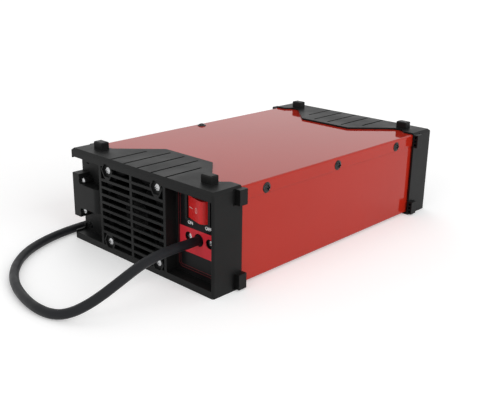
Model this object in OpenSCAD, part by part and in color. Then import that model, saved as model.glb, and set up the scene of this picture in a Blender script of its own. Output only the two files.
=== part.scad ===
// Inverter battery charger: a red sheet-steel housing held between two moulded end bezels.
// Millimetres. Origin on the floor under the middle of the housing, +Z up.
// The mains and fan end faces -Y, the control end faces +Y.

/* [Housing] */
// Width over the end bezels, without the side hooks
body_w = 202; // [190:1:215]
// Length over both end bezels
body_l = 340; // [320:1:370]
// Height from the floor to the top plates, without the posts
body_h = 94.4; // [90:0.2:100]
// Thickness of the top cover's sheet
cover_t = 1; // [0.8:0.1:1.4]
// Depth of the cover's side lips
lip_depth = 12.4; // [11:0.2:16]
// Thickness of the tray's sheet
tray_t = 1.2; // [0.8:0.1:1.6]
// Outside bend radius of the sheet parts
bend_r = 2; // [1.8:0.1:3]
// Thickness of the two steel end plates
plate_t = 1.2; // [0.8:0.1:1.6]
// Distance between the side screws along the housing
side_screw_pitch = 103; // [80:1:110]

/* [End bezels] */
// Depth of a bezel's side walls, measured from its face
bezel_d = 34.4; // [30:0.2:38]
// Wall of the bezel's skirt
skirt_t = 2; // [1.6:0.1:2.6]
// Thickness of the plate over the housing
top_t = 1.8; // [1.5:0.1:2.4]
// Chamfer along the top edges
edge_c = 2.6; // [2:0.2:4]
// Radius of the upright corners
corner_r = 2; // [1.5:0.5:5]
// Height of the band above the recesses
band_h = 8.2; // [7:0.2:9]
// Height of the lip under the recesses
lip_h = 6.6; // [5:0.2:7]
// Thickness of the upright walls beside a recess
rim_t = 2.2; // [1.8:0.2:3]
// Depth of the recesses
recess_d = 12.6; // [10:0.2:14]
// Thickness of the wall behind the recesses
floor_t = 2; // [1.6:0.1:2.6]
// Reach of the grip pad over the cover
pad_d = 65; // [58:1:72]
// Width of the pad's straight back edge
pad_w = 66; // [56:1:76]
// Distance between the pad's grooves
groove_pitch = 19.5; // [17:0.5:21]
// Width of a groove
groove_w = 2.2; // [1.4:0.1:2.6]
// Depth of a groove
groove_d = 1.2; // [0.4:0.1:1.3]

/* [Posts and side hooks] */
// Height of a post
post_h = 7.4; // [6:0.2:12]
// Width of a post across the bezel
post_w = 12.9; // [10:0.1:14]
// Size of a post along the housing
post_l = 9.4; // [8:0.2:12]
// Distance between the posts of one bezel
post_span = 153; // [144:1:158]
// Distance from the bezel's face to a post's middle
post_y = 19.5; // [15:0.5:21]
// Reach of a hook out of the side wall
hook_out = 5; // [3.5:0.5:6]
// Height of a hook
hook_h = 14; // [11:0.2:15]
// Length of a hook along the housing
hook_l = 9.2; // [8:0.2:11]
// Distance of a hook from the bezel's top or bottom
hook_z = 1.7; // [1.5:0.1:4]
// Length of the pocket in the side wall in front of a hook
pocket_l = 3.2; // [2.5:0.1:4]
// Depth of that pocket
pocket_d = 1.2; // [0.8:0.1:1.4]

/* [Fan and grille] */
// Width of the recess with the cable hook
left_recess_w = 45.7; // [44:0.1:50]
// Width of the grille box
grille_w = 96.6; // [93:0.2:98]
// Thickness of the grille box's sides
frame_t = 3.3; // [2.4:0.1:4]
// Number of grille slats
slats = 10; // [8:1:12]
// Height of a slat
slat_h = 2.6; // [2:0.1:3]
// Depth of a slat
slat_d = 2.2; // [1.6:0.1:3]
// Width of the grille's upright bar
bar_w = 3.2; // [2:0.2:4]
// Room above and below the fan's frame
fan_room = 7.2; // [6.6:0.2:9]
// Distance from the edge of the fan's frame to its screw holes
fan_inset = 4.25; // [4:0.05:5]
// Depth of the fan frame
fan_d = 25; // [15:1:30]
// Diameter of the fan's hub
hub_dia = 34; // [28:1:38]
// Number of fan blades
blades = 7; // [5:1:9]

/* [Rocker switch and mains inlet] */
// Width of the switch's frame
switch_w = 31.4; // [30.8:0.2:34]
// Height of the switch's frame
switch_h = 24.6; // [24:0.2:27]
// Width of the rocker
rocker_w = 25.6; // [24:0.2:25.8]
// Height of the rocker
rocker_h = 20.4; // [18:0.2:21]
// Drop from the band to the switch's middle
switch_drop = 15.5; // [15:0.1:17]
// Drop from the switch's middle to the cord's hole
inlet_drop = 28.3; // [26:0.1:30]
// Diameter of the hole round the cord
inlet_dia = 11.6; // [11:0.2:13]
// Diameter of the mains cord
cord_dia = 8.5; // [7.5:0.1:9]
// Distance between the two screws beside the cord
inlet_pitch = 26.4; // [24:0.2:28]

/* [Control end] */
// Width of the display window
display_w = 46; // [36:1:52]
// Height of the display window
display_h = 24; // [18:1:28]
// Diameter of the buttons
button_dia = 9; // [7:0.5:11]
// Distance between the buttons
button_pitch = 18; // [15:1:20]
// Travel of a button
button_travel = 1; // [0.5:0.1:1.4]
// Diameter of an output socket's hole
socket_bore = 8; // [6:0.5:10]
// Outside diameter of an output socket
socket_dia = 19; // [16:0.5:22]
// Distance between the output sockets
socket_pitch = 36; // [30:1:40]

/* [Inner parts] */
// Width of the circuit board
board_w = 168; // [150:1:172]
// Length of the circuit board
board_l = 226; // [210:1:232]
// Height of the standoffs under the board
standoff_h = 7; // [5:0.5:9]
// Height of the heatsinks
sink_h = 52; // [40:1:56]
// Fins on one heatsink
sink_fins = 6; // [4:1:7]
// Diameter of the bulk capacitors
cap_dia = 25; // [20:1:28]

/* [Hidden] */
$fn = 48;

// Clearances: between fitted plastic or sheet parts, of a pin in its bore, and a cut's overrun
fit = 0.2;
pin_gap = 0.06;
over = 1;

half_w = body_w / 2;
housing_y = recess_d + floor_t;
housing_l = body_l - 2 * housing_y;
cover_hw = half_w - skirt_t - fit;
cover_top = body_h - top_t - fit;
tray_hw = cover_hw - cover_t - 0.1;
tray_z = 2;
tray_floor = tray_z + tray_t;
plate_hw = tray_hw - tray_t - 0.1;
plate_bottom = tray_floor + 0.1;
plate_top = cover_top - cover_t - 0.1;
tray_top = cover_top - bend_r - 0.1;
lip_z = cover_top - lip_depth;

opening_bottom = lip_h;
opening_top = body_h - band_h;
mid_z = body_h / 2;
switch_z = opening_top - switch_drop;
inlet_z = switch_z - inlet_drop;
fan_size = body_h - 2 * fan_room;
fan_pitch = fan_size - 2 * fan_inset;

grille_x = -half_w + left_recess_w + grille_w / 2;
grille_left = grille_x - grille_w / 2;
grille_right = grille_x + grille_w / 2;
recess_right = half_w - rim_t;
label_left = grille_right + 3;
label_right = recess_right - 1.5;
inlet_x = (label_left + label_right) / 2;
cord_x = inlet_x;
slat_gap = (opening_top - opening_bottom - slats * slat_h) / (slats + 1);
fan_y = slat_d + 1.2;
cell_r = 8.6;
cell_wall = 1.5;
cell_floor = 1.6;
web_w = 6.6;

label_t = 0.8;
label_y = recess_d - label_t;

// Head diameter, head height and shank diameter of each size of screw
fan_screw = [6.8, 1.7, 3.6];
small_screw = [5.8, 1.8, 3.4];
cover_screw = [9.8, 2.4, 3.8];
sunk_screw = [8, 2.2, 3.6];
board_screw = [5.6, 1.6, 2.9];
hole_gap = 0.25;
// Length of the screws that hold the fan
fan_screw_l = 9;

black = "#26282a";
plate_black = "#3a3c3d";
red = "#b31d22";
silver = "#c4c6c8";

module near_end() {
    translate([0, -body_l / 2, 0]) children();
}

module far_end() {
    rotate([0, 0, 180]) translate([0, -body_l / 2, 0]) children();
}

module both_sides() {
    for (side = [0, 1]) mirror([side, 0, 0]) children();
}

// A rectangle with round corners, centred
module round_rect(w, h, r) {
    square([w - 2 * r, h], center = true);
    square([w, h - 2 * r], center = true);
    for (x = [-1, 1], y = [-1, 1])
        translate([x * (w / 2 - r), y * (h / 2 - r)]) circle(r);
}

// A plate that lies across the end: its outline is drawn in X and Z, its front is at y
module across(y, t) {
    translate([0, y + t, 0]) rotate([90, 0, 0]) linear_extrude(t) children();
}

// A rod along Y that starts at the given point
module rod(x, y, z, r, l) {
    translate([x, y, z]) rotate([-90, 0, 0]) cylinder(r = r, h = l);
}

// A block given by its lowest and highest corners
module block(low, high) {
    translate(low) cube(high - low);
}

// A pan-head screw along Y, its head towards -Y and seated at y = 0
module pan_screw(size, length) {
    head_r = size[0] / 2;
    head_h = size[1];
    rotate([-90, 0, 0]) difference() {
        union() {
            cylinder(r = size[2] / 2, h = length);
            rotate_extrude() intersection() {
                translate([0, -head_h]) square([head_r, head_h]);
                translate([0, head_r * 1.4 - head_h]) circle(head_r * 1.4);
            }
        }
        for (turn = [0, 90]) rotate([0, 0, turn])
            translate([-head_r * 0.55, -head_r * 0.15, -head_h - over])
                cube([head_r * 1.1, head_r * 0.3, over + head_h * 0.6]);
    }
}

/* End bezels */

// Half of the top plate's outline, from the outer corner in to the pad
plate_step = 7;
step_y = bezel_d - plate_step;
plate_outline = [[0, 0], [half_w, 0], [half_w, bezel_d], [half_w - 14, bezel_d],
    [half_w - 14 - plate_step, step_y], [pad_w / 2 + pad_d - step_y, step_y],
    [pad_w / 2, pad_d], [0, pad_d]];

// What the chamfers and round corners leave of the bezel's block
module bezel_envelope() {
    intersection() {
        linear_extrude(body_h) {
            translate([-half_w, corner_r]) square([body_w, pad_d]);
            translate([-half_w + corner_r, 0]) square([body_w - 2 * corner_r, pad_d]);
            for (side = [-1, 1]) translate([side * (half_w - corner_r), corner_r]) circle(corner_r);
        }
        across(-over, pad_d + 2 * over) polygon([[-half_w, 0], [half_w, 0],
            [half_w, body_h - edge_c], [half_w - edge_c, body_h],
            [-half_w + edge_c, body_h], [-half_w, body_h - edge_c]]);
        translate([-half_w - over, 0, 0]) rotate([90, 0, 90])
            linear_extrude(body_w + 2 * over) polygon([[0, 0], [pad_d, 0],
                [pad_d, body_h], [edge_c, body_h], [0, body_h - edge_c]]);
    }
}

module plate_and_pad() {
    translate([0, 0, body_h - top_t]) linear_extrude(top_t)
        both_sides() polygon(plate_outline);
}

// The grooves end short of the pad's back edge, and shorter still beside its slanted edges
function groove_end(n) =
    let (x = abs(n) * groove_pitch)
    x < pad_w / 2 ? pad_d - 6 : pad_d - (x - pad_w / 2) - 14;

module pad_grooves() {
    for (n = [-2 : 2]) translate([n * groove_pitch - groove_w / 2, edge_c, body_h - groove_d])
        cube([groove_w, groove_end(n) - edge_c, groove_d + over]);
}

// Outline of a block whose two upper corners are cut off
function bevelled(w, h, c) =
    [[-w / 2, 0], [w / 2, 0], [w / 2, h - c], [w / 2 - c, h], [-w / 2 + c, h], [-w / 2, h - c]];

module posts() {
    root = 0.5;
    for (side = [-1, 1]) translate([side * post_span / 2, post_y, body_h - root]) intersection() {
        linear_extrude(post_h + root) round_rect(post_w, post_l, 1);
        across(-post_l, 2 * post_l) polygon(bevelled(post_w, post_h + root, 1));
        rotate([90, 0, 90]) translate([0, 0, -post_w]) linear_extrude(2 * post_w)
            polygon(bevelled(post_l, post_h + root, 1));
    }
}

// The hook stands on the side wall and hangs over the housing; its inner face is cored out
hook_y = bezel_d + 1.1 - hook_l;

module side_hook() {
    rib = 1.5;
    rib_gap = (hook_h - 4 * rib) / 3;
    core_l = 5;
    difference() {
        block([half_w - 0.5, hook_y, 0], [half_w + hook_out, hook_y + hook_l, hook_h]);
        for (n = [0 : 2])
            translate([half_w + 0.6, hook_y + hook_l - core_l, rib + n * (rib_gap + rib)])
                cube([hook_out - 1.8, core_l + over, rib_gap]);
    }
}

module side_hooks() {
    both_sides() {
        translate([0, 0, hook_z]) side_hook();
        translate([0, 0, body_h - hook_z - hook_h]) side_hook();
    }
}

module hook_pockets() {
    both_sides() for (z = [hook_z, body_h - hook_z - hook_h])
        block([half_w - pocket_d, hook_y - pocket_l, z], [half_w + over, hook_y, z + hook_h]);
}

// The parts that both bezels share
module bezel_frame() {
    intersection() {
        bezel_envelope();
        union() {
            block([-half_w, recess_d, 0], [half_w, recess_d + floor_t, body_h]);
            block([-half_w, 0, 0], [half_w, housing_y, lip_h]);
            block([-half_w, 0, opening_top], [half_w, housing_y, body_h]);
            both_sides() block([half_w - skirt_t, recess_d, 0], [half_w, bezel_d, body_h]);
            block([-half_w, recess_d, 0], [half_w, bezel_d, tray_z - fit]);
            plate_and_pad();
        }
    }
    posts();
    side_hooks();
}

module rim_wall(side) {
    low = side > 0 ? half_w - rim_t : -half_w;
    intersection() {
        bezel_envelope();
        block([low, 0, 0], [low + rim_t, housing_y, body_h]);
    }
}

/* Mains and fan end */

function slat_z(n) = opening_bottom + slat_gap + n * (slat_gap + slat_h);

module fan_corners() {
    for (x = [-1, 1], z = [-1, 1])
        translate([grille_x + x * fan_pitch / 2, 0, mid_z + z * fan_pitch / 2]) children();
}

// Frame, slats and the six-sided cells that carry the fan's screws
module grille() {
    for (x = [grille_left, grille_right - frame_t])
        block([x, 0, lip_h - over], [x + frame_t, housing_y, opening_top + over]);
    block([grille_x - bar_w / 2, 0, opening_bottom - over],
        [grille_x + bar_w / 2, slat_d, opening_top + over]);
    for (n = [0 : slats - 1]) {
        // The outer slats stop at the cells
        outer = n == 0 || n == slats - 1;
        reach = outer ? fan_pitch / 2 : grille_w / 2 - 1;
        block([grille_x - reach, 0, slat_z(n)], [grille_x + reach, slat_d, slat_z(n) + slat_h]);
    }
    intersection() {
        fan_corners() across(0, fan_y) circle(cell_r, $fn = 6);
        block([grille_left, 0, lip_h - 3], [grille_right, fan_y, opening_top + 3]);
    }
    // A short web joins each cell to the second slat from it
    for (x = [-1, 1]) {
        web_x = grille_x + x * fan_pitch / 2;
        block([web_x - web_w / 2, 0, mid_z - fan_pitch / 2], [web_x + web_w / 2, slat_d, slat_z(1) + 1]);
        block([web_x - web_w / 2, 0, slat_z(slats - 2) + slat_h - 1],
            [web_x + web_w / 2, slat_d, mid_z + fan_pitch / 2]);
    }
}

module rear_bezel() {
    fan_hole = fan_size / 2 + 0.3;
    color(black) difference() {
        union() {
            bezel_frame();
            rim_wall(1);
            grille();
            left_rim();
        }
        pad_grooves();
        hook_pockets();
        // Pocket for the fan
        block([grille_x - fan_hole, fan_y, mid_z - fan_hole],
            [grille_x + fan_hole, housing_y + over, mid_z + fan_hole]);
        fan_corners() across(-over, fan_y - cell_floor + over) circle(cell_r - cell_wall, $fn = 6);
        fan_corners() rod(0, 0, 0, fan_screw[2] / 2 + hole_gap, fan_y + over);
        // Holes behind the label: switch, cord and its two screws
        across(recess_d - over, floor_t + 2 * over) translate([inlet_x, switch_z])
            switch_hole();
        rod(cord_x, recess_d - over, inlet_z, inlet_dia / 2, floor_t + 2 * over);
        inlet_corners() rod(0, recess_d - over, 0, 4.5, floor_t + 2 * over);
        rear_screw_places() sunk_hole();
        hook_screw_places() rod(0, -over, 0, small_screw[2] / 2 + hole_gap, floor_t + 2 * over);
        // Slot for a tie, above the cable hook
        block([-half_w + 7.8, recess_d - over, body_h - 16.8],
            [-half_w + 11.8, housing_y + over, body_h - 15.8]);
    }
}

// At the open left end a low kerb runs back to a gusset on the wall, and a rim hangs under the band
module left_rim() {
    rim_w = 2;
    kerb_h = lip_h + 1.6;
    translate([-half_w, 0, 0]) rotate([90, 0, 90]) linear_extrude(rim_w)
        polygon([[corner_r, 0], [housing_y, 0], [housing_y, kerb_h + 5.5], [recess_d, kerb_h + 5.5],
            [recess_d - 1.6, kerb_h + 4], [recess_d - 1.8, kerb_h + 0.6], [recess_d - 5, kerb_h],
            [corner_r, kerb_h]]);
    intersection() {
        bezel_envelope();
        union() {
            block([-half_w, 0, 0], [-half_w + rim_w, recess_d, kerb_h]);
            block([-half_w, 0, opening_top - 1.4], [-half_w + rim_w, housing_y, opening_top + over]);
        }
    }
}

module inlet_corners() {
    for (side = [-1, 1]) translate([cord_x + side * inlet_pitch / 2, 0, inlet_z]) children();
}

module rear_screw_places() {
    translate([-half_w + 8.6, recess_d, 12.7]) children();
}

// The control end's screws stand inside the window in the bezel's flange
module front_screw_places() {
    inset = sunk_screw[0] / 2 + hole_gap + 1.2;
    for (x = [-1, 1], z = [-1, 1])
        translate([x * (window_w / 2 - inset), recess_d, window_z + z * (window_h / 2 - inset)]) children();
}

module sunk_hole() {
    rod(0, -over, 0, sunk_screw[2] / 2 + hole_gap, floor_t + 2 * over);
    rotate([-90, 0, 0]) cylinder(r1 = sunk_screw[0] / 2 + hole_gap, r2 = sunk_screw[2] / 2 + hole_gap,
        h = floor_t * 0.8);
}

module sunk_screw_body(length) {
    head_r = sunk_screw[0] / 2;
    head_h = floor_t * 0.8;
    rotate([-90, 0, 0]) difference() {
        union() {
            cylinder(r1 = head_r, r2 = sunk_screw[2] / 2, h = head_h);
            cylinder(r = sunk_screw[2] / 2, h = length);
        }
        for (turn = [0, 90]) rotate([0, 0, turn])
            translate([-head_r * 0.45, -0.4, -over]) cube([head_r * 0.9, 0.8, over + 0.8]);
    }
}

// Cleat that the cord is wound on, screwed to the wall of the left recess
hook_gap = 1;
hook_base_w = 10;
hook_nose_gap = 1.1;
hook_screw_in = 13.3;
hook_x = -half_w + hook_gap;
hook_neck_x = hook_x + hook_base_w;
hook_nose_x = grille_left - hook_nose_gap;
hook_part_h = 44.8;
hook_neck_h = 24.5;
hook_screw_x = hook_x + hook_screw_in;
hook_screw_span = 31.4;
hook_nose_r = 10;
// Depth of the screw heads' seats behind the bezel's face
hook_seat = 3.6;

module hook_outline() {
    shoulder_r = 9;
    shoulder_h = (hook_part_h - hook_neck_h) / 2;
    translate([hook_x, mid_z - hook_part_h / 2]) square([hook_neck_x - hook_x, hook_part_h]);
    translate([hook_x, mid_z - hook_neck_h / 2]) square([hook_nose_x - hook_x, hook_neck_h]);
    // Concave shoulders round the screws
    translate([0, mid_z]) for (side = [0, 1]) mirror([0, side]) difference() {
        translate([hook_neck_x - 0.1, hook_neck_h / 2 - 0.1])
            square([shoulder_r + 0.6, shoulder_h + 0.1]);
        translate([hook_neck_x + shoulder_r + 0.5, hook_neck_h / 2 + shoulder_r]) {
            circle(shoulder_r);
            translate([-shoulder_r, 0]) square(2 * shoulder_r);
        }
    }
}

module cable_hook() {
    wall = 2.2;
    boss_r = 3.6;
    color(black) difference() {
        union() {
            intersection() {
                across(0, recess_d) hook_outline();
                // Seen from above, the nose turns back to the wall in a round corner
                linear_extrude(body_h) {
                    translate([hook_x, 0]) square([hook_nose_x - hook_nose_r - hook_x, recess_d]);
                    translate([hook_x, hook_nose_r]) square([hook_nose_x - hook_x, recess_d - hook_nose_r]);
                    translate([hook_nose_x - hook_nose_r, hook_nose_r]) circle(hook_nose_r);
                }
            }
            hook_screw_places() rod(0, hook_seat - recess_d, 0, boss_r, recess_d - hook_seat);
        }
        // Hollow behind the face
        block([hook_x + wall, wall, mid_z - hook_part_h / 2 + wall],
            [hook_neck_x - 0.6, recess_d + over, mid_z + hook_part_h / 2 - wall]);
        block([hook_screw_x + boss_r + 1.5, wall, mid_z - hook_neck_h / 2 + wall],
            [hook_nose_x - hook_nose_r, recess_d + over, mid_z + hook_neck_h / 2 - wall]);
        hook_screw_places() {
            rod(0, -recess_d, 0, small_screw[2] / 2 + hole_gap, recess_d + over);
            rod(0, -recess_d - over, 0, small_screw[0] / 2 + hole_gap, hook_seat + over);
        }
    }
}

module hook_screw_places() {
    for (side = [-1, 1])
        translate([hook_screw_x, recess_d, mid_z + side * hook_screw_span / 2]) children();
}

module hook_screws() {
    color(silver) hook_screw_places() translate([0, hook_seat - recess_d, 0])
        pan_screw(small_screw, housing_y + plate_t + 2 - hook_seat);
}

module fan_square() {
    across(0, fan_d) translate([grille_x, mid_z]) round_rect(fan_size, fan_size, 4);
}

module fan_frame() {
    duct_r = fan_size / 2 - 2;
    flange_t = 3.6;
    motor_y = fan_y + fan_d - 4;
    color(black) {
        difference() {
            translate([0, fan_y, 0]) fan_square();
            rod(grille_x, fan_y - over, mid_z, duct_r, fan_d + 2 * over);
            // Between its two flanges the frame is a round barrel
            difference() {
                across(fan_y + flange_t, fan_d - 2 * flange_t) translate([grille_x, mid_z])
                    square(fan_size + 2, center = true);
                rod(grille_x, fan_y, mid_z, duct_r + 1.6, fan_d);
                across(fan_y, fan_d) translate([grille_x, mid_z])
                    for (turn = [0, 90]) rotate(turn) square([fan_size, 6], center = true);
            }
            fan_corners() rod(0, fan_y - over, 0, fan_screw[2] / 2 + 0.2, fan_d + 2 * over);
        }
        // Motor plate on three struts, with the shaft that carries the rotor
        rod(grille_x, motor_y, mid_z, hub_dia / 2, 4);
        for (turn = [90, 210, 330]) translate([grille_x, motor_y + 0.6, mid_z]) rotate([0, turn, 0])
            translate([hub_dia / 2 - 2, 0, -1.6]) cube([duct_r - hub_dia / 2 + 3, 2.6, 3.2]);
    }
    color(silver) rod(grille_x, fan_y + 5, mid_z, 1.5, motor_y - fan_y - 4);
}

module fan_rotor() {
    hub_front = fan_y + 3;
    hub_l = fan_d - 4 - 3 - 0.8;
    blade_r = fan_size / 2 - 3.2;
    color("#1c1d1f") {
        difference() {
            rod(grille_x, hub_front, mid_z, hub_dia / 2 - 0.5, hub_l);
            rod(grille_x, hub_front + 2, mid_z, 1.5 + pin_gap, hub_l);
        }
        translate([grille_x, hub_front + hub_l / 2, mid_z]) rotate([-90, 0, 0]) intersection() {
            union() for (n = [0 : blades - 1]) rotate([0, 0, n * 360 / blades])
                translate([hub_dia / 2 - 2, 0, 0]) rotate([90, 0, 90])
                    linear_extrude(blade_r) fan_blade(hub_l - 2);
            translate([0, 0, -hub_l / 2]) cylinder(r = blade_r, h = hub_l);
        }
    }
}

// A blade's section: a strip bent to an arc and set at a slant, as high as the hub
module fan_blade(height) {
    bend = height * 1.3;
    rotate(-38) translate([-bend * 0.93, 0]) intersection() {
        difference() {
            circle(bend + 0.7);
            circle(bend - 0.7);
        }
        square([4 * bend, height * 1.12], center = true);
        translate([0, -bend]) square(2 * bend);
    }
}

module fan_screws() {
    color(silver) fan_corners() translate([0, fan_y - cell_floor, 0]) pan_screw(fan_screw, fan_screw_l);
}

// Printed plate in the right recess
module label_outline() {
    low = opening_bottom + 3;
    high = opening_top - 1;
    translate([label_left, low]) square([label_right - label_left, high - low]);
}

module inlet_label() {
    color(black) difference() {
        across(label_y, label_t) label_outline();
        across(label_y - over, label_t + 2 * over) translate([inlet_x, switch_z])
            switch_hole();
        rod(cord_x, label_y - over, inlet_z, inlet_dia / 2, 3);
        inlet_corners() rod(0, label_y - over, 0, 4.5, 3);
    }
}

module inlet_screws() {
    color(silver) inlet_corners() translate([0, housing_y, 0]) pan_screw(small_screw, 8);
}

/* Rocker switch: the rocker turns about an upright pin */
rocker_tip = 5;
pivot_y = label_y + rocker_tip;
rocker_r = norm([rocker_w / 2, rocker_tip]) - 0.1;
switch_proud = 1.6;
well_r = rocker_r + 0.25;
shell_w = 2 * (well_r + 0.8);
shell_h = rocker_h + 2.2;

// Opening in the label, the wall and the end plate that the switch's shell goes through
module switch_hole() {
    square([shell_w + 2 * fit, shell_h + 2 * fit], center = true);
}

module switch_body() {
    shell_d = 20;
    color(black) difference() {
        union() {
            across(label_y - switch_proud, switch_proud) translate([inlet_x, switch_z])
                round_rect(switch_w, switch_h, 1.5);
            across(label_y, shell_d) translate([inlet_x, switch_z])
                square([shell_w, shell_h], center = true);
            for (n = [-1 : 1]) block([inlet_x + n * 8 - 2.4, label_y + shell_d, switch_z - 3.2],
                [inlet_x + n * 8 + 2.4, label_y + shell_d + 8, switch_z - 2.4]);
        }
        // Well for the rocker, wider below the frame so that the rocker's ends swing free
        across(label_y - switch_proud - over, shell_d - 1) translate([inlet_x, switch_z])
            square([rocker_w - 1, rocker_h + 0.6], center = true);
        across(label_y - switch_proud - over, switch_proud + over) translate([inlet_x, switch_z])
            square([rocker_w + 0.5, rocker_h + 0.6], center = true);
        translate([inlet_x, pivot_y, switch_z - rocker_h / 2 - 0.3])
            cylinder(r = well_r, h = rocker_h + 0.6);
        translate([inlet_x, pivot_y, switch_z - rocker_h / 2 - 1.2])
            cylinder(r = 1.5 + pin_gap, h = rocker_h + 2.4);
    }
}

// Plan of the rocker with the ON end pressed in: a flat face, then a round end that stands out
module rocker_plan() {
    nose = [5.5, -rocker_tip];
    intersection() {
        difference() {
            polygon([[-rocker_w / 2, 0], nose, [rocker_w / 2, nose.y], [rocker_w / 2, 5.5], [2.5, 8],
                [-2.5, 8], [-rocker_w / 2, 5.5]]);
            translate([nose.x + 1.5, nose.y]) difference() {
                translate([0, -over]) square([rocker_w, rocker_tip + 1 + over]);
                translate([0, 6.6]) circle(6.6);
            }
        }
        translate([0, rocker_tip]) circle(rocker_r);
    }
}

module switch_rocker() {
    color(red) {
        translate([inlet_x, label_y, switch_z - rocker_h / 2]) linear_extrude(rocker_h) rocker_plan();
        translate([inlet_x, pivot_y, switch_z - rocker_h / 2 - 0.9]) cylinder(r = 1.5, h = rocker_h + 1.8);
    }
}

/* Mains cord */
gland_tip_y = label_y - 0.6;

// Tapered strain relief that grips the cord in the end plate
module cord_gland() {
    color("#1b1c1e") {
        translate([cord_x, gland_tip_y, inlet_z]) rotate([-90, 0, 0])
            cylinder(r1 = cord_dia / 2 + 0.3, r2 = inlet_dia / 2 - 0.5, h = housing_y - gland_tip_y);
        rod(cord_x, housing_y, inlet_z, inlet_dia / 2 - 1, plate_t);
        rod(cord_x, housing_y + plate_t, inlet_z, inlet_dia / 2 + 1.4, 3);
        rod(cord_x, housing_y + plate_t + 3, inlet_z, inlet_dia / 2 - 0.6, 12);
    }
}

// The cord leaves the strain relief, drops to the floor and runs back along the left side
cord_points = [[70.8, -158.8, 42.4], [70.8, -172, 42.4], [70.8, -186, 42.4], [70.8, -199, 42],
    [70.8, -210, 40.8], [70.6, -221, 38.4], [69.9, -233, 34], [67.8, -245, 28], [64, -256, 21.2],
    [58.5, -266, 14.6], [51, -274.6, 9], [42, -281, 5.6], [31, -285, 4.4], [18, -286.6, 4.3],
    [3, -285.6, 4.3], [-13, -282.6, 4.3], [-30, -277.6, 4.3], [-48, -269.6, 4.3],
    [-65, -258.6, 4.3], [-80, -245, 4.3], [-92.6, -229, 4.3], [-102, -211, 4.3],
    [-108.6, -192, 4.3], [-112.6, -172, 4.3], [-114.4, -150, 4.3], [-114.8, -125, 4.3],
    [-114.8, -95, 4.3], [-114.8, -60, 4.3], [-114.8, -25, 4.3], [-114.8, 5, 4.6],
    [-114.8, 25, 5.2]];
// The rest lies in a tied coil beside the housing: its middle, mean radius, turns across and up
coil_centre = [-165, 45];
coil_r = 46;
coil_turns = [2, 2];
coil_w = cord_dia * coil_turns[0];
coil_h = cord_dia * coil_turns[1];
tie_t = 1;

function unit(v) = v / norm(v);
function tangent(points, i) =
    unit(points[min(i + 1, len(points) - 1)] - points[max(i - 1, 0)]);
function ring(p, t, r, sides) =
    let (side = unit(cross(t, [0, 0, 1])), up = cross(side, t))
    [for (k = [0 : sides - 1]) p + r * (cos(k * 360 / sides) * side + sin(k * 360 / sides) * up)];

// A tube of flat-sided rings swept along the points
module swept_tube(points, r, sides) {
    last = len(points) - 1;
    rings = [for (i = [0 : last]) each ring(points[i], tangent(points, i), r, sides)];
    walls = [for (i = [0 : last - 1], k = [0 : sides - 1])
        let (a = i * sides + k, b = i * sides + (k + 1) % sides)
        [a, b, b + sides, a + sides]];
    near_cap = [for (k = [0 : sides - 1]) sides - 1 - k];
    far_cap = [for (k = [0 : sides - 1]) last * sides + k];
    polyhedron(rings, concat(walls, [near_cap, far_cap]), convexity = 10);
}

module mains_cord() {
    color("#202226") swept_tube(cord_points, cord_dia / 2 - 0.05, 10);
}

module cord_coil() {
    color("#202226") translate([coil_centre.x, coil_centre.y, tie_t + coil_h / 2]) rotate_extrude()
        translate([coil_r, 0]) round_rect(coil_w, coil_h, cord_dia / 2);
}

module cord_tie() {
    width = 6;
    color(black) translate([coil_centre.x, coil_centre.y, tie_t + coil_h / 2]) intersection() {
        rotate_extrude() translate([coil_r, 0]) difference() {
            round_rect(coil_w + 2 * tie_t, coil_h + 2 * tie_t, tie_t + 1);
            square([coil_w + 0.1, coil_h], center = true);
        }
        translate([-width / 2, 0, -coil_h]) cube([width, 2 * coil_r, 2 * coil_h]);
    }
}

// Round two-pin plug that lies beside the coil, its sleeve towards the outer turn
plug_r = 18.5;
plug_x = coil_centre.x - coil_r - cord_dia / 2;
plug_y = coil_centre.y - 24;
sleeve_l = 34;
plug_body_l = 30;

module mains_plug() {
    face = sleeve_l + plug_body_l;
    pin_r = 2.4;
    pin_l = 19;
    translate([plug_x, plug_y, plug_r]) rotate([90, 0, 0]) {
        color("#202226") rotate_extrude() polygon([[0, 0], [cord_dia / 2 + 1, 0], [7.4, sleeve_l],
            [11, sleeve_l + 4], [plug_r - 1, sleeve_l + 9], [plug_r, sleeve_l + 11],
            [plug_r, face - 0.8], [plug_r - 0.8, face], [0, face]]);
        color(silver) for (side = [-1, 1]) translate([side * 9.5, 0, face - 1]) {
            cylinder(r = pin_r, h = pin_l);
            translate([0, 0, pin_l]) cylinder(r1 = pin_r, r2 = pin_r - 0.8, h = 1);
        }
    }
}

/* Housing */

module top_cover() {
    tall = 4 * lip_depth;
    color(red) translate([0, -housing_l / 2, 0]) difference() {
        across(0, housing_l) difference() {
            translate([0, cover_top - tall / 2]) round_rect(2 * cover_hw, tall, bend_r);
            translate([0, cover_top - cover_t - tall / 2])
                round_rect(2 * (cover_hw - cover_t), tall, bend_r - cover_t);
            translate([-body_w, lip_z - tall]) square([2 * body_w, tall]);
        }
        translate([0, housing_l / 2, 0]) side_screw_places()
            rod(0, -over, 0, cover_screw[2] / 2 + hole_gap, 10);
        translate([0, housing_l / 2, 0]) top_screw_place()
            rod(0, -over, 0, cover_screw[2] / 2 + hole_gap, 10);
    }
}

// The children point into the housing along their own +Y
side_screw_drop = 7.6;

module side_screw_places() {
    both_sides() for (n = [-1 : 1])
        translate([cover_hw, n * side_screw_pitch, cover_top - side_screw_drop]) rotate([0, 0, 90])
            children();
}

module top_screw_place() {
    translate([-cover_hw + 8.4, -3.5, cover_top]) rotate([-90, 0, 0]) children();
}

module cover_screws() {
    color("#2c2d2f") {
        side_screw_places() pan_screw(cover_screw, cover_t + tray_t + 3);
        top_screw_place() pan_screw(cover_screw, cover_t + 5);
    }
}

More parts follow.
